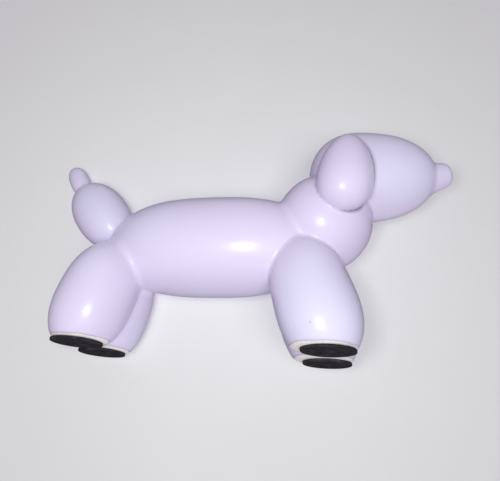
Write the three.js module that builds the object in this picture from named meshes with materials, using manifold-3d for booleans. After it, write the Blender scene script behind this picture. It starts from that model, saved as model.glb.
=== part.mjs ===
// A small glazed ceramic dog in the manner of a twisted-balloon toy: one hollow-cast figurine whose
// head, ears, neck, body, legs and tail are plump balloon segments, standing on four round foam pads.
// Millimetres, +Z up, nose towards +X, mirror plane at Y = 0.
// Stations along X are counted from the front pads and heights from the ground. The finished group
// is moved so that its origin lies on the ground under the middle of the figurine.
import * as THREE from "three";
import { mergeVertices } from "three/addons/utils/BufferGeometryUtils.js";
import Module from "manifold-3d";

// Driving dimensions.
const PAD_DIAMETER = 25;
const PAD_THICKNESS = 1.2;
const WHEELBASE = 122; // front pads to hind pads
const FRONT_TRACK = 34; // right to left front pad
const HIND_TRACK = 27; // right to left hind pad
const BODY_HEIGHT = 58; // axis of the body above the ground
const BODY_RADIUS = 27.7;
const LEG_RADIUS = 19.4;
const HEAD_HEIGHT = 101; // axis of the head above the ground
const HEAD_RADIUS = 24.8;

// Each balloon segment: its middle (x, z), the slope of its axis above +X in degrees, half its
// length and its radius; fullness is 2 for an ellipsoid and more for a sausage, taper is how much
// fatter the end that the axis points to is, and wide is its width as a share of its height.
// A segment that the dog has on both sides is `side` off the mirror plane, and a leg splays
// outwards by `splay` degrees so that its axis meets the ground at `foot`.
const BODY = {
  x: -WHEELBASE / 2 - 0.5, z: BODY_HEIGHT, slope: 1,
  half: WHEELBASE / 2 - 1.5, radius: BODY_RADIUS, fullness: 2.8,
};
const NECK = {
  x: -1.6, z: BODY_HEIGHT + 14.5, slope: 53,
  half: 24.8, radius: HEAD_RADIUS + 0.9, wide: 1.04,
};
const HEAD = {
  x: 25.3, z: HEAD_HEIGHT, slope: -1,
  half: 34.7, radius: HEAD_RADIUS, fullness: 2.5, taper: -0.14,
};
const NOSE = {
  x: 58.4, z: HEAD_HEIGHT - 0.5, slope: 13,
  half: 9.4, radius: 8.2, fullness: 8, taper: -0.28,
};
const EAR = {
  x: 9.3, z: HEAD_HEIGHT - 12.3, slope: -96.4, side: HEAD_RADIUS + 1.2,
  half: 21.9, radius: 13.7, taper: 0.21, wide: 0.95,
};
const TAIL = {
  x: -WHEELBASE - 11, z: BODY_HEIGHT + 21, slope: 130.8,
  half: 24.5, radius: 15.6,
};
const TAIL_TIP = {
  x: -WHEELBASE - 32.2, z: BODY_HEIGHT + 45.7, slope: 122.8,
  half: 11.5, radius: 6, fullness: 2.5,
};
const FRONT_LEG = {
  x: -6.7, z: 0.467 * BODY_HEIGHT, slope: -73.2, splay: 12, foot: FRONT_TRACK / 2 + 0.8,
  half: 0.597 * BODY_HEIGHT, radius: LEG_RADIUS + 0.2, fullness: 2.6, taper: 0.07,
};
const HIND_LEG = {
  x: -WHEELBASE + 3.9, z: 0.433 * BODY_HEIGHT, slope: -101.5, splay: 6, foot: HIND_TRACK / 2 + 0.9,
  half: 0.533 * BODY_HEIGHT, radius: LEG_RADIUS - 0.2, fullness: 2.47,
};

// Colours and finishes.
const GLAZE = new THREE.MeshStandardMaterial({ color: 0xd6cdea, roughness: 0.38, metalness: 0 });
const FOAM = new THREE.MeshStandardMaterial({ color: 0x2b2a2f, roughness: 0.9, metalness: 0 });

const wasm = await Module();
wasm.setup();

// A three.js geometry as a solid that can be joined and cut.
function solidOf(geometry) {
  const bare = geometry.clone().deleteAttribute("normal").deleteAttribute("uv");
  const merged = mergeVertices(bare);
  const corners = merged.index.array;
  const triangles = [];
  for (let i = 0; i < corners.length; i += 3) {
    const [a, b, c] = corners.subarray(i, i + 3);
    if (a !== b && b !== c && c !== a) triangles.push(a, b, c);
  }
  const vertProperties = merged.attributes.position.array;
  return new wasm.Manifold(
    new wasm.Mesh({ numProp: 3, vertProperties, triVerts: new Uint32Array(triangles) }),
  );
}

// A solid as a three.js geometry again.
function geometryOf(solid) {
  const mesh = solid.getMesh();
  const geometry = new THREE.BufferGeometry()
    .setAttribute("position", new THREE.BufferAttribute(mesh.vertProperties, 3))
    .setIndex(new THREE.BufferAttribute(mesh.triVerts, 1));
  geometry.computeVertexNormals();
  return geometry;
}

// One balloon segment, turned on its axis and set in place. The hand is -1 on the dog's right, 1 on
// its left and 0 in the middle.
function bulb(segment, { hand = 0, rings, sides }) {
  const { x, z, slope, half, radius, fullness = 2.2, taper = 0, wide = 1, splay = 0, foot } = segment;
  const profile = [];
  for (let i = 0; i <= rings; i++) {
    const t = -Math.cos((Math.PI * i) / rings);
    const swell = Math.sqrt(Math.max(0, 1 - Math.abs(t) ** fullness)) * (1 + taper * t);
    const pole = i === 0 || i === rings;
    profile.push(new THREE.Vector2(pole ? 0 : radius * swell, half * t));
  }
  const lean = THREE.MathUtils.degToRad(splay);
  const { side = foot - z * Math.tan(lean) } = segment;
  const geometry = new THREE.LatheGeometry(profile, sides)
    .scale(wide, 1, 1)
    .rotateZ(-Math.PI / 2)
    .rotateY(-THREE.MathUtils.degToRad(slope))
    .rotateX(hand * lean)
    .translate(x, hand === 0 ? 0 : hand * side, z);
  return solidOf(geometry);
}

// The same segment on the dog's right and left.
function pair(segment, detail) {
  return [-1, 1].map((hand) => bulb(segment, { hand, ...detail }));
}

// Everything below the soles, which the legs are cut off at.
function ground() {
  const size = 400;
  return solidOf(new THREE.BoxGeometry(size, size, size).translate(0, 0, PAD_THICKNESS - size / 2));
}

const segments = [
  bulb(BODY, { rings: 26, sides: 36 }),
  bulb(NECK, { rings: 16, sides: 32 }),
  bulb(HEAD, { rings: 20, sides: 36 }),
  bulb(NOSE, { rings: 12, sides: 20 }),
  bulb(TAIL, { rings: 16, sides: 28 }),
  bulb(TAIL_TIP, { rings: 12, sides: 18 }),
  ...pair(EAR, { rings: 16, sides: 26 }),
  ...pair(FRONT_LEG, { rings: 18, sides: 28 }),
  ...pair(HIND_LEG, { rings: 18, sides: 28 }),
];
const casting = segments.reduce((whole, segment) => whole.add(segment)).subtract(ground());

const dog = new THREE.Mesh(geometryOf(casting), GLAZE);
dog.name = "dog";

const figurine = new THREE.Group();
figurine.add(dog);

// Round pads, one under each foot.
for (const [end, station, track] of [["front", 0, FRONT_TRACK], ["hind", -WHEELBASE, HIND_TRACK]]) {
  for (const [hand, sign] of [["right", -1], ["left", 1]]) {
    const disc = new THREE.CylinderGeometry(PAD_DIAMETER / 2, PAD_DIAMETER / 2, PAD_THICKNESS, 40);
    const pad = new THREE.Mesh(disc.rotateX(Math.PI / 2), FOAM);
    pad.name = `${end}_${hand}_pad`;
    pad.position.set(station, (sign * track) / 2, PAD_THICKNESS / 2);
    figurine.add(pad);
  }
}

const reach = new THREE.Box3().setFromObject(figurine);
figurine.position.x = -(reach.min.x + reach.max.x) / 2;

export default figurine;
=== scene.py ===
"""Models and finishes a glazed ceramic dog in the manner of a twisted-balloon toy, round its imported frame."""

import math
from dataclasses import dataclass

import bmesh
import bpy
import numpy as np
from bpy.props import FloatProperty, FloatVectorProperty, PointerProperty
from mathutils import Matrix, Vector


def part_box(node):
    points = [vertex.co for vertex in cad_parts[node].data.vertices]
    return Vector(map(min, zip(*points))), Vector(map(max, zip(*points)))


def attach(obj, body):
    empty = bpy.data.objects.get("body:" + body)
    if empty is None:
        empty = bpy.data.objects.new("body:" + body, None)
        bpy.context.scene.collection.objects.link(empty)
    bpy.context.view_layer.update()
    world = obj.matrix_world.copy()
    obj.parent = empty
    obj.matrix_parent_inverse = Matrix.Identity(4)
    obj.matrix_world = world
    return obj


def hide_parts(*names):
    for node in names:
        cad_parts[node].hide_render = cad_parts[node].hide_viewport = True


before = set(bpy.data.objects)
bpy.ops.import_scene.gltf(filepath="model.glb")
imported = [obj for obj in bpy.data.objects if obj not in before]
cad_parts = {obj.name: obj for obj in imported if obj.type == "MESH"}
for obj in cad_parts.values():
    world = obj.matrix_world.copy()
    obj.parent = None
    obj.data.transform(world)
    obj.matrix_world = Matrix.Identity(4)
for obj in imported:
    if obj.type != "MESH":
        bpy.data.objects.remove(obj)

bl_info = {
    "name": "Balloon-style dog figurine",
    "version": (1, 0, 0),
    "blender": (4, 5, 0),
    "location": "3D View > Sidebar > Figurine",
    "description": "Builds a glazed balloon-style dog, its foam pads and the studio round it",
    "category": "Add Mesh",
}

MM = 0.001
# Name of the attribute that holds how much shade, with a little dust, is painted into each crease
CREASE_SHADE_ATTRIBUTE = "crease_shade"
PAD_NODES = ("front_right_pad", "front_left_pad", "hind_right_pad", "hind_left_pad")


def middle(node):
    """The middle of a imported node's box."""
    low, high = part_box(node)
    return (low + high) / 2


FRONT_STATION = middle("front_right_pad").x
WHEELBASE = FRONT_STATION - middle("hind_right_pad").x
FRONT_TRACK = middle("front_left_pad").y - middle("front_right_pad").y
HIND_TRACK = middle("hind_left_pad").y - middle("hind_right_pad").y
SOLE_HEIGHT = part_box("front_right_pad")[1].z


# Sizes, colours and lights that a user would change

def length(name, description, default):
    """A length property in metres."""
    return FloatProperty(name=name, description=description, default=default, unit="LENGTH", precision=4)


def colour(name, description, default):
    """A linear colour property."""
    return FloatVectorProperty(
        name=name, description=description, default=default, size=3, min=0, max=1, subtype="COLOR")


class FigurineSizes(bpy.types.PropertyGroup):
    """Driving sizes of the casting."""
    body_height: length("Body height", "Axis of the body above the ground", 58 * MM)
    body_radius: length("Body radius", "Radius of the long body segment", 27.7 * MM)
    leg_radius: length("Leg radius", "Radius of the leg segments", 19.4 * MM)
    head_height: length("Head height", "Axis of the head above the ground", 101 * MM)
    head_radius: length("Head radius", "Radius of the head at its fattest", 24.8 * MM)
    sole_edge: length("Sole edge", "How softly the soles' edges are rounded", 2.4 * MM)
    grain: length("Mesh grain", "Edge length of the finished surface", 0.92 * MM)
    pad_edge: length("Pad edge", "Rounding of the foam pads' lower edge", 0.3 * MM)


class FigurineFinish(bpy.types.PropertyGroup):
    """Colours of the glaze, the bare clay and the foam."""
    glaze: colour("Glaze", "Main colour of the glaze", (0.66, 0.657, 0.81))
    blush: colour("Blush", "Warmer tint that drifts through the glaze", (0.672, 0.63, 0.795))
    # Painted shade in the creases, with a little dust, and the darker glaze rolled at the clay's edge
    pool: colour("Pooled glaze", "Glaze and dust gathered in the creases", (0.26, 0.19, 0.27))
    clay: colour("Clay", "Bare clay round the soles", (0.90, 0.885, 0.845))
    clay_grain: colour("Clay grain", "Darker grains in the bare clay", (0.78, 0.73, 0.64))
    speck: colour("Speck", "Dark specks under the glaze", (0.27, 0.26, 0.32))
    foam: colour("Foam", "Foam of the pads", (0.016, 0.0155, 0.0195))
    foam_dust: colour("Foam dust", "Dust caught in the foam", (0.060, 0.057, 0.067))
    clay_band: length("Clay band", "Height of the bare clay above the soles", 1.0 * MM)


class FigurineStudio(bpy.types.PropertyGroup):
    """The floor and the lights."""
    floor: colour("Floor", "Plain pale floor", (0.73, 0.755, 0.725))
    key_power: FloatProperty(name="Key light", description="Power of the light beside the lens",
                             default=0.2, min=0, unit="POWER")
    fill_power: FloatProperty(name="Fill light", description="Power of each large soft light",
                              default=4.3, min=0, unit="POWER")
    ambient: FloatProperty(name="Ambient", description="Strength of the even light from all round",
                           default=0.43, min=0, subtype="FACTOR")


# The casting

MERGE_GAP = 0.001 * MM
PAIR_SOFTNESS = 2 * MM  # where the two legs or ears of a pair meet
CREASE_SHADE_WIDTH = 1.5 * MM  # how far the painted shade reaches from a crease
LEAST_REACH = 0.2  # of that width, on the side away from the nose
SLOPE_STEP = 0.05 * MM
FLATTEST_SLOPE = 0.2
TAPER_REACH = 1.5  # half lengths from the middle, past which a segment's girth stays the same
TINY = 1e-9


@dataclass(frozen=True)
class Segment:
    """One balloon segment: its middle, its axis' slope above +X in degrees, half its length, its radius.

    Fullness is 2 for an ellipsoid and more for a sausage. Taper is how much fatter the end that the axis
    points to is, and wide is its width as a share of its height. Side is how far the two of a pair stand
    from the mirror plane, and splay is their outward lean in degrees. Softness is how gently the segment
    runs into those before it. The last two give how much shade, with a little dust, is painted into that
    crease, and how much wider that painted shade lies on the side towards the nose, where the key light's
    shadow falls.
    """
    x: float
    z: float
    slope: float
    half: float
    radius: float
    softness: float
    fullness: float = 2.2
    taper: float = 0.0
    wide: float = 1.0
    side: float = 0.0
    splay: float = 0.0
    crease_shade: float = 0.0
    shade_towards_nose: float = 0.0

    def hands(self):
        """-1 for the dog's right and 1 for its left, or 0 for a segment in the middle."""
        return (-1, 1) if self.side else (0,)

    def place(self, hand):
        """Where the segment lies in the row's frame, with its axis along X."""
        return (Matrix.Translation((FRONT_STATION + self.x, hand * self.side, self.z))
                @ Matrix.Rotation(hand * math.radians(self.splay), 4, "X")
                @ Matrix.Rotation(-math.radians(self.slope), 4, "Y"))

    def swell(self, t):
        """Radius at t, from -1 at one pole to 1 at the other."""
        return self.radius * math.sqrt(max(0.0, 1 - abs(t) ** self.fullness)) * (1 + self.taper * t)

    def distance(self, points, hand):
        """Distance of points from the segment's surface, nearly, and less than nothing inside."""
        local = np.array(self.place(hand).inverted())
        x, y, z = (points @ local[:3, :3].T + local[:3, 3]).T
        t = x / self.half
        girth = self.radius * (1 + self.taper * np.clip(t, -TAPER_REACH, TAPER_REACH))
        across = (y / self.wide) ** 2 + z ** 2
        level = np.sqrt(np.maximum(across / girth ** 2 + np.abs(t) ** self.fullness, TINY))
        along = self.fullness * np.abs(t) ** (self.fullness - 1) * np.sign(t) / self.half
        along = along - 2 * across / girth ** 3 * self.radius * self.taper / self.half
        steep = np.sqrt(along ** 2 + (2 * y / (self.wide * girth) ** 2) ** 2 + (2 * z / girth ** 2) ** 2)
        return 2 * level * (level - 1) / np.maximum(steep, TINY)


def balloon_segments(sizes):
    """Every segment of the dog, in the order in which they run into each other."""
    def spread(track, height, splay):
        return track / 2 - height * math.tan(math.radians(splay))

    front_z = 0.467 * sizes.body_height
    front_splay = 12
    hind_z = 0.433 * sizes.body_height
    hind_splay = 6
    return {
        "body": Segment(
            x=-WHEELBASE / 2 - 0.5 * MM, z=sizes.body_height, slope=1, half=WHEELBASE / 2 - 1.5 * MM,
            radius=sizes.body_radius, fullness=2.8, softness=1 * MM),
        "hind_leg": Segment(
            x=-WHEELBASE + 3.9 * MM, z=hind_z, slope=-101.5, half=0.533 * sizes.body_height,
            radius=sizes.leg_radius - 0.2 * MM, fullness=2.47, splay=hind_splay,
            side=spread(HIND_TRACK + 1.8 * MM, hind_z, hind_splay), softness=4.5 * MM, crease_shade=0.12),
        "tail": Segment(
            x=-WHEELBASE - 11 * MM, z=sizes.body_height + 21 * MM, slope=130.8, half=24.5 * MM,
            radius=15.6 * MM, softness=3 * MM, crease_shade=0.3),
        "tail_tip": Segment(
            x=-WHEELBASE - 32.2 * MM, z=sizes.body_height + 45.7 * MM, slope=122.8, half=11.5 * MM,
            radius=6 * MM, fullness=2.5, softness=3 * MM, crease_shade=0.2),
        "neck": Segment(
            x=-1.6 * MM, z=sizes.body_height + 14.5 * MM, slope=53, half=24.8 * MM,
            radius=sizes.head_radius + 0.9 * MM, wide=1.04, softness=2.6 * MM, crease_shade=0.25),
        "head": Segment(
            x=25.3 * MM, z=sizes.head_height, slope=-1, half=34.7 * MM,
            radius=sizes.head_radius, fullness=2.5, taper=-0.14, softness=1.6 * MM, crease_shade=0.45),
        "nose": Segment(
            x=58.4 * MM, z=sizes.head_height - 0.5 * MM, slope=13, half=9.4 * MM,
            radius=8.2 * MM, fullness=8, taper=-0.28, softness=1.2 * MM, crease_shade=0.2),
        "front_leg": Segment(
            x=-6.7 * MM, z=front_z, slope=-73.2, half=0.597 * sizes.body_height,
            radius=sizes.leg_radius + 0.2 * MM, fullness=2.6, taper=0.07, splay=front_splay,
            side=spread(FRONT_TRACK + 1.6 * MM, front_z, front_splay), softness=2 * MM, crease_shade=0.5),
        # The ear's crease gets the darkest painted shade, reaching wider on the side towards the nose
        "ear": Segment(
            x=9.3 * MM, z=sizes.head_height - 12.3 * MM, slope=-96.4, half=21.9 * MM,
            radius=13.7 * MM, taper=0.21, wide=0.95, side=sizes.head_radius + 1.2 * MM,
            softness=0.4 * MM, crease_shade=1.0, shade_towards_nose=1.4),
    }


def spin_balloon(mesh, segment, hand, rings=40, steps=64):
    """Adds one segment to a mesh: its profile spun round its axis, set in place and cut off at the sole."""
    bm = bmesh.new()
    stations = [-math.cos(math.pi * i / rings) for i in range(rings + 1)]
    profile = [bm.verts.new((segment.half * t, 0, segment.swell(t))) for t in stations]
    ribs = [bm.edges.new(ends) for ends in zip(profile, profile[1:])]
    bmesh.ops.spin(bm, geom=profile + ribs, cent=(0, 0, 0), axis=(1, 0, 0), dvec=(0, 0, 0),
                   angle=2 * math.pi, steps=steps, use_merge=True)
    bmesh.ops.remove_doubles(bm, verts=bm.verts, dist=MERGE_GAP)
    bmesh.ops.scale(bm, vec=(1, segment.wide, 1), verts=bm.verts)
    bmesh.ops.transform(bm, matrix=segment.place(hand), verts=bm.verts)
    cut = bmesh.ops.bisect_plane(bm, geom=bm.verts[:] + bm.edges[:] + bm.faces[:], dist=MERGE_GAP,
                                 plane_co=(0, 0, SOLE_HEIGHT), plane_no=(0, 0, -1), clear_outer=True)
    rim = [e for e in cut["geom_cut"] if isinstance(e, bmesh.types.BMEdge)]
    if rim:
        bmesh.ops.edgeloop_fill(bm, edges=rim)
    bmesh.ops.recalc_face_normals(bm, faces=bm.faces)
    bm.from_mesh(mesh)
    bm.to_mesh(mesh)
    bm.free()


def run_together(a, b, softness):
    """Two distances joined, with a fillet where they are nearly alike."""
    near = np.maximum(softness - np.abs(a - b), 0)
    return np.minimum(a, b) - near ** 2 / (4 * softness)


def casting_distance(points, segments, sole_edge):
    """Distance of points from the whole casting, its creases filled and its soles flat."""
    whole = None
    for segment in segments.values():
        each = [segment.distance(points, hand) for hand in segment.hands()]
        both = each[0] if len(each) == 1 else run_together(*each, PAIR_SOFTNESS)
        whole = both if whole is None else run_together(whole, both, segment.softness)
    return -run_together(-whole, points[:, 2] - SOLE_HEIGHT, sole_edge)


def painted_crease_shade(points, segments):
    """How much shade, with a little dust, is painted at points, from 0 in the open to 1 in the tightest crease.
    """
    crease_shading = np.zeros(len(points))
    whole = None
    for segment in segments.values():
        both = np.minimum.reduce([segment.distance(points, hand) for hand in segment.hands()])
        if whole is not None:
            # The painted shade reaches wider on the side towards the nose, where the key light's shadow falls
            ahead = np.clip((points[:, 0] - FRONT_STATION - segment.x) / segment.radius, -1, 1)
            reach = CREASE_SHADE_WIDTH * np.maximum(1 + segment.shade_towards_nose * ahead, LEAST_REACH)
            near = np.clip(1 - np.maximum(np.abs(whole), np.abs(both)) / reach, 0, 1)
            crease_shading = np.maximum(crease_shading, near * segment.crease_shade)
        whole = both if whole is None else np.minimum(whole, both)
    return crease_shading


def draw_to_casting(points, segments, sole_edge, rounds=5):
    """Moves points onto the finished casting's surface, along its slope."""
    for _ in range(rounds):
        gap = casting_distance(points, segments, sole_edge)
        slope = np.empty_like(points)
        for axis in range(3):
            nudge = np.zeros(3)
            nudge[axis] = SLOPE_STEP
            ahead = casting_distance(points + nudge, segments, sole_edge)
            behind = casting_distance(points - nudge, segments, sole_edge)
            slope[:, axis] = (ahead - behind) / (2 * SLOPE_STEP)
        points = points - (gap / np.maximum((slope ** 2).sum(1), FLATTEST_SLOPE))[:, None] * slope
    return points


def weld(obj, grain):
    """Runs an object's overlapping shells together into one skin of even faces."""
    remesh = obj.modifiers.new("weld", "REMESH")
    remesh.mode = "VOXEL"
    remesh.voxel_size = grain
    welded = bpy.data.meshes.new_from_object(obj.evaluated_get(bpy.context.evaluated_depsgraph_get()))
    obj.modifiers.clear()
    obj.data = welded


def new_object(name, mesh):
    """An object in the scene at the origin, with its place in its mesh."""
    obj = bpy.data.objects.new(name, mesh)
    bpy.context.scene.collection.objects.link(obj)
    return obj


def finish_faces(obj, material):
    """Gives an object's mesh its one material and smooth shading."""
    obj.data.materials.clear()
    obj.data.materials.append(material)
    obj.data.polygons.foreach_set("use_smooth", [True] * len(obj.data.polygons))


class FIGURINE_OT_casting(bpy.types.Operator):
    """Model the dog as one casting of balloon segments and glaze it"""
    bl_idname = "figurine.casting"
    bl_label = "Casting"

    def execute(self, context):
        sizes = context.scene.figurine_sizes
        segments = balloon_segments(sizes)
        mesh = bpy.data.meshes.new("casting")
        for segment in segments.values():
            for hand in segment.hands():
                spin_balloon(mesh, segment, hand)
        dog = new_object("glazed_dog", mesh)
        weld(dog, sizes.grain)
        points = np.empty(len(dog.data.vertices) * 3)
        dog.data.vertices.foreach_get("co", points)
        points = draw_to_casting(points.reshape(-1, 3), segments, sizes.sole_edge)
        dog.data.vertices.foreach_set("co", points.ravel())
        # How much shade, with a little dust, is painted at each point of the creases
        crease_shading = dog.data.attributes.new(CREASE_SHADE_ATTRIBUTE, "FLOAT", "POINT")
        crease_shading.data.foreach_set("value", painted_crease_shade(points, segments))
        dog.data.update()
        finish_faces(dog, glaze_material(context.scene.figurine_finish))
        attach(dog, "root")
        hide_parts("dog")
        return {"FINISHED"}


class FIGURINE_OT_pads(bpy.types.Operator):
    """Cut the four foam pads and stick them under the soles"""
    bl_idname = "figurine.pads"
    bl_label = "Foam pads"

    def execute(self, context):
        material = foam_material(context.scene.figurine_finish)
        for node in PAD_NODES:
            pad = new_object(node.replace("_pad", "_foam_pad"), self.disc(context, node))
            finish_faces(pad, material)
            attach(pad, "root")
            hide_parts(node)
        return {"FINISHED"}

    @staticmethod
    def disc(context, node):
        """A die-cut disc of foam with its lower edge a little rounded."""
        low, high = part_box(node)
        bm = bmesh.new()
        radius = (high.x - low.x) / 2
        bmesh.ops.create_cone(bm, cap_ends=True, segments=96, radius1=radius, radius2=radius,
                              depth=high.z - low.z, matrix=Matrix.Translation((low + high) / 2))
        lower = [e for e in bm.edges if all(v.co.z < (low.z + high.z) / 2 for v in e.verts)]
        bmesh.ops.bevel(bm, geom=lower, offset=context.scene.figurine_sizes.pad_edge, affect="EDGES",
                        segments=3, profile=0.5, material=-1)
        mesh = bpy.data.meshes.new(node)
        bm.to_mesh(mesh)
        bm.free()
        return mesh


# Finishes

class NodeBoard:
    """A material's node tree, with short calls to add and join its nodes."""

    def __init__(self, tree):
        self.tree = tree

    def add(self, kind, inputs=None, **settings):
        """A node with its settings; each input is a plain value or another node's output."""
        node = self.tree.nodes.new(kind)
        for key, value in settings.items():
            setattr(node, key, value)
        for key, value in (inputs or {}).items():
            self.put(value, node.inputs[key])
        return node

    def put(self, value, socket):
        """Sets a socket, or joins it to an output."""
        if isinstance(value, bpy.types.NodeSocket):
            self.tree.links.new(value, socket)
        else:
            socket.default_value = value

    def place(self):
        """Where the shaded point lies on its object."""
        return self.add("ShaderNodeTexCoord").outputs["Object"]

    def noise(self, place, per_metre, detail):
        """Soft noise from 0 to 1."""
        node = self.add("ShaderNodeTexNoise", {"Vector": place, "Scale": per_metre, "Detail": detail})
        return node.outputs["Fac"]

    def mix(self, factor, a, b, blend="MIX"):
        """A colour between a and b."""
        node = self.add("ShaderNodeMix", data_type="RGBA", blend_type=blend)
        for value, socket in zip((factor, a, b), (node.inputs[0], node.inputs[6], node.inputs[7])):
            self.put(value, socket)
        return node.outputs[2]

    def between(self, factor, low, high):
        """A value from low at 0 to high at 1."""
        node = self.add("ShaderNodeMapRange", {"Value": factor, "To Min": low, "To Max": high})
        return node.outputs["Result"]

    def band(self, value, low, high):
        """0 below low and 1 above high, with a smooth step between."""
        node = self.add("ShaderNodeMapRange", {"Value": value, "From Min": low, "From Max": high},
                        interpolation_type="SMOOTHSTEP")
        return node.outputs["Result"]

    def work_out(self, operation, a, b):
        """One Math node."""
        node = self.add("ShaderNodeMath", operation=operation)
        self.put(a, node.inputs[0])
        self.put(b, node.inputs[1])
        return node.outputs[0]

    def bump(self, height, strength, distance):
        """A normal roughened by a height."""
        node = self.add("ShaderNodeBump", {"Height": height, "Strength": strength, "Distance": distance})
        return node.outputs["Normal"]


def new_material(name):
    """An empty node material and its board."""
    material = bpy.data.materials.new(name)
    material.use_nodes = True
    material.node_tree.nodes.clear()
    return material, NodeBoard(material.node_tree)


def opaque(rgb):
    """A colour property with its alpha."""
    return (*rgb, 1.0)


# Middle of each kiln speck from the ground between the front pads and its radius, both in millimetres,
# and how dark it is
KILN_SPECKS = (
    ((-7.5, -32.3, 9.3), 0.7, 0.55),
    ((-9.0, -31.9, 9.5), 0.5, 0.22),
    ((-9.0, -31.4, 7.8), 0.45, 0.2),
    ((-13.9, -28.5, 7.8), 0.4, 0.2),
)
SPECK_RAG = 900.0  # wobbles to a metre in a speck's outline
PINHOLE_CELLS = 55.0  # cells to a metre, of which about a quarter hold a pinhole
PINHOLE_PICK = (0.72, 0.78)
PINHOLE_RADII = (0.30 * MM, 0.10 * MM)
PINHOLE_DARK = 0.3


def speck_mask(board, place):
    """Kiln specks at their own places, and a sprinkling of pinholes all over."""
    ragged = board.noise(place, SPECK_RAG, 1.0)
    cells = board.add("ShaderNodeTexVoronoi", {"Vector": place, "Scale": PINHOLE_CELLS})
    chance = board.add("ShaderNodeSeparateColor", {"Color": cells.outputs["Color"]}).outputs["Red"]
    outer, inner = PINHOLE_RADII
    dot = board.band(cells.outputs["Distance"], outer * PINHOLE_CELLS, inner * PINHOLE_CELLS)
    picked = board.work_out("MULTIPLY", dot, board.band(chance, *PINHOLE_PICK))
    mask = board.work_out("MULTIPLY", picked, PINHOLE_DARK)
    for middle_mm, radius_mm, dark in KILN_SPECKS:
        spot = Vector(middle_mm) * MM + Vector((FRONT_STATION, 0, 0))
        radius = radius_mm * MM
        gap = board.add("ShaderNodeVectorMath", {0: place, 1: spot}, operation="DISTANCE").outputs["Value"]
        wobble = board.work_out("MULTIPLY", ragged, radius)
        shape = board.band(board.work_out("ADD", gap, wobble), 1.5 * radius, 0.5 * radius)
        mask = board.work_out("MAXIMUM", mask, board.work_out("MULTIPLY", shape, dark))
    return mask


# How many features of each pattern there are to a metre, and which part of its range shows
GLAZE_DRIFT = 22.0
BLUSH_RANGE = (0.64, 0.40)
GLAZE_RIPPLE = 380.0
CLAY_GRAINS = 1500.0
CLAY_GRAIN_RANGE = (0.35, 0.75)
GLAZE_EDGE_RAG = 160.0
GLAZE_EDGE_WANDER = 0.9 * MM
GLAZE_EDGE_FADE = (-0.15 * MM, 0.25 * MM)
ROLLED_EDGE_FADE = (0.8 * MM, 0.3 * MM)
ROLLED_EDGE_DARK = 0.3
# How dark the painted crease shade gets at its darkest
CREASE_SHADE_DARK = 0.85
GLAZE_ROUGHNESS = (0.24, 0.36)
CLAY_ROUGHNESS = 0.78


def glaze_material(finish):
    """Satin glaze with a drifting tint, specks, painted shade and a little dust in the creases and bare clay
    round the soles.
    """
    material, board = new_material("satin_glaze")
    place = board.place()

    drift = board.noise(place, GLAZE_DRIFT, 3.0)
    clean = board.mix(board.band(drift, *BLUSH_RANGE), opaque(finish.glaze), opaque(finish.blush))
    # Shade, with a little dust, painted into the creases
    crease_shading = board.add("ShaderNodeAttribute", attribute_name=CREASE_SHADE_ATTRIBUTE).outputs["Fac"]
    crease_darkening = board.work_out("MULTIPLY", board.band(crease_shading, 0.0, 1.0), CREASE_SHADE_DARK)
    glazed = board.mix(crease_darkening, clean, opaque(finish.pool))
    specked = board.mix(speck_mask(board, place), glazed, opaque(finish.speck))

    grains = board.noise(place, CLAY_GRAINS, 2.0)
    chalky = board.mix(board.band(grains, *CLAY_GRAIN_RANGE), opaque(finish.clay), opaque(finish.clay_grain))

    height = board.add("ShaderNodeSeparateXYZ", {"Vector": place}).outputs["Z"]
    ragged = board.noise(place, GLAZE_EDGE_RAG, 2.0)
    level = board.work_out("SUBTRACT", height, board.work_out("MULTIPLY", ragged, GLAZE_EDGE_WANDER))
    edge = SOLE_HEIGHT + finish.clay_band - GLAZE_EDGE_WANDER / 2
    covered = board.band(level, *(edge + fade for fade in GLAZE_EDGE_FADE))
    near_edge = board.band(level, *(edge + fade for fade in ROLLED_EDGE_FADE))
    rolled = board.work_out("MULTIPLY", near_edge, ROLLED_EDGE_DARK)
    base = board.mix(covered, chalky, board.mix(rolled, specked, opaque(finish.pool)))

    rough = board.between(covered, CLAY_ROUGHNESS, board.between(drift, *GLAZE_ROUGHNESS))
    relief = board.between(covered, grains, board.noise(place, GLAZE_RIPPLE, 2.0))
    shader = board.add("ShaderNodeBsdfPrincipled", {
        "Base Color": base, "Roughness": rough, "IOR": 1.5, "Normal": board.bump(relief, 0.08, 0.2 * MM)})
    board.add("ShaderNodeOutputMaterial", {"Surface": shader.outputs["BSDF"]})
    return material


FOAM_PORES = 2600.0
FOAM_STREAKS = 1400.0
FOAM_STREAK_STRETCH = (0.1, 1.0, 1.0)
FOAM_CLOUDS = 240.0
FOAM_DUST_RANGE = (0.92, 1.35)


def foam_material(finish):
    """Matt closed-cell foam with fine pores and a little dust in lengthwise streaks."""
    material, board = new_material("black_foam")
    place = board.place()
    pores = board.add("ShaderNodeTexVoronoi", {"Vector": place, "Scale": FOAM_PORES}).outputs["Distance"]
    stretched = board.add("ShaderNodeMapping", {"Vector": place, "Scale": FOAM_STREAK_STRETCH})
    streaks = board.noise(stretched.outputs["Vector"], FOAM_STREAKS, 3.0)
    clouds = board.noise(place, FOAM_CLOUDS, 4.0)
    dusty = board.band(board.work_out("ADD", streaks, clouds), *FOAM_DUST_RANGE)
    base = board.mix(dusty, opaque(finish.foam), opaque(finish.foam_dust))
    shader = board.add("ShaderNodeBsdfPrincipled", {
        "Base Color": base, "Roughness": 0.85, "Normal": board.bump(pores, 0.4, 0.15 * MM)})
    board.add("ShaderNodeOutputMaterial", {"Surface": shader.outputs["BSDF"]})
    return material


# The studio

CAMERA_AT = Vector((-3.5, -207.0, -35.7)) * MM  # from the ground between the front pads
CAMERA_YAW = 10.43
CAMERA_PITCH = 24.97
CAMERA_ROLL = 4.35
LENS = 30.24
SENSOR_WIDTH = 36.0

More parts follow.
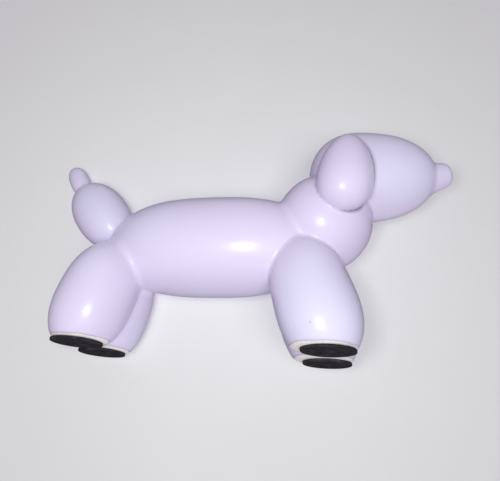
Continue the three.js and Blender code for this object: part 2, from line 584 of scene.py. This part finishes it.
LIGHTS_AIM = Vector((0, 0, 60)) * MM
KEY_BESIDE_LENS = Vector((-25, 5, 0)) * MM
KEY_SIZE = 35 * MM
LEFT_KEY_AT = Vector((-90, 460, 300)) * MM
LEFT_KEY_SIZE = 70 * MM
LEFT_KEY_SHARE = 6.0  # of the key's power, from farther off
FILL_BEHIND_LENS = Vector((80, 0, 700)) * MM
FILL_SIZE = 500 * MM
OVERHEAD_AT = Vector((-100, 0, 900)) * MM
OVERHEAD_SIZE = 350 * MM
OVERHEAD_SHARE = 0.25  # of a fill light's power
GLOW = (0.83, 0.735, 0.88, 1.0)
GLOW_LESS_IN_GLOSS = 0.8  # so that the glaze's rims stay dark
BACKDROP = (0.50, 0.488, 0.513, 1.0)

LYING_FLOOR_FACES = Vector((0.164, -0.962, -0.217))  # towards the dog, which lies on its left side
FLOOR_SIZE = 14.0
STANDING_FLOOR_LIFT = 0.3
PAPER_TOOTH = 30.0
PAPER_SHADES = (0.97, 1.0)


def paper_material(name, studio, lift):
    """Plain pale paper that only shows from its front, lifted by some light of its own."""
    material, board = new_material(name)
    shade = board.between(board.noise(board.place(), PAPER_TOOTH, 3.0), *PAPER_SHADES)
    paper = board.add("ShaderNodeBsdfPrincipled", {
        "Base Color": board.mix(1.0, opaque(studio.floor), shade, blend="MULTIPLY"),
        "Roughness": 1.0, "Specular IOR Level": 0.0,
        "Emission Color": opaque(studio.floor), "Emission Strength": lift})
    clear = board.add("ShaderNodeBsdfTransparent")
    seen = board.add("ShaderNodeLightPath").outputs["Is Camera Ray"]
    behind = board.add("ShaderNodeNewGeometry").outputs["Backfacing"]
    front = board.work_out("SUBTRACT", seen, behind)
    mix = board.add("ShaderNodeMixShader", {0: front, 1: clear.outputs["BSDF"], 2: paper.outputs["BSDF"]})
    board.add("ShaderNodeOutputMaterial", {"Surface": mix.outputs["Shader"]})
    return material


class FIGURINE_OT_studio(bpy.types.Operator):
    """Set the camera, the pale floors and the soft lights"""
    bl_idname = "figurine.studio"
    bl_label = "Studio"

    def execute(self, context):
        studio = context.scene.figurine_studio
        camera = self.camera(context)
        standing = paper_material("standing_paper", studio, STANDING_FLOOR_LIFT)
        self.floor("standing_floor", Vector((0, 0, 1)), 0.0, standing)
        dog = bpy.data.objects["glazed_dog"]
        reach = min(v.co.dot(LYING_FLOOR_FACES) for v in dog.data.vertices)
        self.floor("lying_floor", LYING_FLOOR_FACES, reach, paper_material("lying_paper", studio, 0.0))
        self.light("right_key", camera @ KEY_BESIDE_LENS, KEY_SIZE, studio.key_power)
        self.light("left_key", LEFT_KEY_AT, LEFT_KEY_SIZE, studio.key_power * LEFT_KEY_SHARE)
        mirrored = Matrix.Scale(-1, 4, (0, 1, 0)) @ camera
        self.soft_light("right_fill", camera @ FILL_BEHIND_LENS, FILL_SIZE, studio.fill_power)
        self.soft_light("left_fill", mirrored @ FILL_BEHIND_LENS, FILL_SIZE, studio.fill_power)
        self.soft_light("overhead", OVERHEAD_AT, OVERHEAD_SIZE, studio.fill_power * OVERHEAD_SHARE)
        self.world(context, studio)
        return {"FINISHED"}

    @staticmethod
    def camera(context):
        """The photograph's camera. Returns where it is and how it is turned."""
        data = bpy.data.cameras.new("camera")
        data.lens = LENS
        data.sensor_width = SENSOR_WIDTH
        data.clip_start = 5 * MM
        camera = bpy.data.objects.new("camera", data)
        context.scene.collection.objects.link(camera)
        camera.matrix_world = (
            Matrix.Translation(CAMERA_AT + Vector((FRONT_STATION, 0, 0)))
            @ Matrix.Rotation(math.radians(90), 4, "X")
            @ Matrix.Rotation(math.radians(CAMERA_YAW), 4, "Y")
            @ Matrix.Rotation(math.radians(CAMERA_PITCH), 4, "X")
            @ Matrix.Rotation(math.radians(CAMERA_ROLL), 4, "Z"))
        context.scene.camera = camera
        return camera.matrix_world.copy()

    @staticmethod
    def floor(name, faces, reach, material):
        """A large plain sheet that faces one way, at a distance from the origin along that way."""
        bm = bmesh.new()
        turn = faces.to_track_quat("Z", "Y").to_matrix().to_4x4()
        bmesh.ops.create_grid(bm, x_segments=1, y_segments=1, size=FLOOR_SIZE / 2,
                              matrix=Matrix.Translation(faces.normalized() * reach) @ turn)
        mesh = bpy.data.meshes.new(name)
        bm.to_mesh(mesh)
        bm.free()
        sheet = new_object(name, mesh)
        finish_faces(sheet, material)

    @staticmethod
    def light(name, place, size, power):
        """A square light that faces the figurine and isn't seen itself, apart from its highlights."""
        data = bpy.data.lights.new(name, "AREA")
        data.size = size
        data.energy = power
        light = bpy.data.objects.new(name, data)
        bpy.context.scene.collection.objects.link(light)
        light.location = place
        light.rotation_mode = "QUATERNION"
        light.rotation_quaternion = (LIGHTS_AIM - place).to_track_quat("-Z", "Y")
        light.visible_camera = False
        return light

    def soft_light(self, name, place, size, power):
        """A light that leaves no highlights."""
        self.light(name, place, size, power).visible_glossy = False

    @staticmethod
    def world(context, studio):
        """Even light from all round, with a pale backdrop beyond the floor's edge."""
        world = bpy.data.worlds.new("studio")
        world.use_nodes = True
        world.node_tree.nodes.clear()
        board = NodeBoard(world.node_tree)
        path = board.add("ShaderNodeLightPath").outputs
        less = board.work_out("MULTIPLY", path["Is Glossy Ray"], -GLOW_LESS_IN_GLOSS * studio.ambient)
        strength = board.work_out("ADD", less, studio.ambient)
        glow = board.add("ShaderNodeBackground", {"Color": GLOW, "Strength": strength})
        backdrop = board.add("ShaderNodeBackground", {"Color": BACKDROP, "Strength": 1.0})
        mix = board.add("ShaderNodeMixShader", {
            0: path["Is Camera Ray"], 1: glow.outputs["Background"], 2: backdrop.outputs["Background"]})
        board.add("ShaderNodeOutputWorld", {"Surface": mix.outputs["Shader"]})
        context.scene.world = world
        context.scene.view_settings.view_transform = "Standard"


# The sidebar

class FIGURINE_PT_sidebar(bpy.types.Panel):
    """Sizes, finishes and build steps of the figurine"""
    bl_label = "Dog figurine"
    bl_space_type = "VIEW_3D"
    bl_region_type = "UI"
    bl_category = "Figurine"

    def draw(self, context):
        for name in GROUPS:
            group = getattr(context.scene, name)
            box = self.layout.box()
            for setting in group.__annotations__:
                box.prop(group, setting)
        for operator in OPERATORS:
            self.layout.operator(operator.bl_idname)


GROUPS = {
    "figurine_sizes": FigurineSizes,
    "figurine_finish": FigurineFinish,
    "figurine_studio": FigurineStudio,
}
OPERATORS = (FIGURINE_OT_casting, FIGURINE_OT_pads, FIGURINE_OT_studio)


def register():
    for name, group in GROUPS.items():
        bpy.utils.register_class(group)
        setattr(bpy.types.Scene, name, PointerProperty(type=group))
    for operator in OPERATORS:
        bpy.utils.register_class(operator)
    bpy.utils.register_class(FIGURINE_PT_sidebar)


def unregister():
    bpy.utils.unregister_class(FIGURINE_PT_sidebar)
    for operator in reversed(OPERATORS):
        bpy.utils.unregister_class(operator)
    for name, group in GROUPS.items():
        delattr(bpy.types.Scene, name)
        bpy.utils.unregister_class(group)


def main():
    """Builds the figurine and its studio."""
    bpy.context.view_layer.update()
    register()
    bpy.ops.figurine.casting()
    bpy.ops.figurine.pads()
    bpy.ops.figurine.studio()


if __name__ == "__main__":
    main()
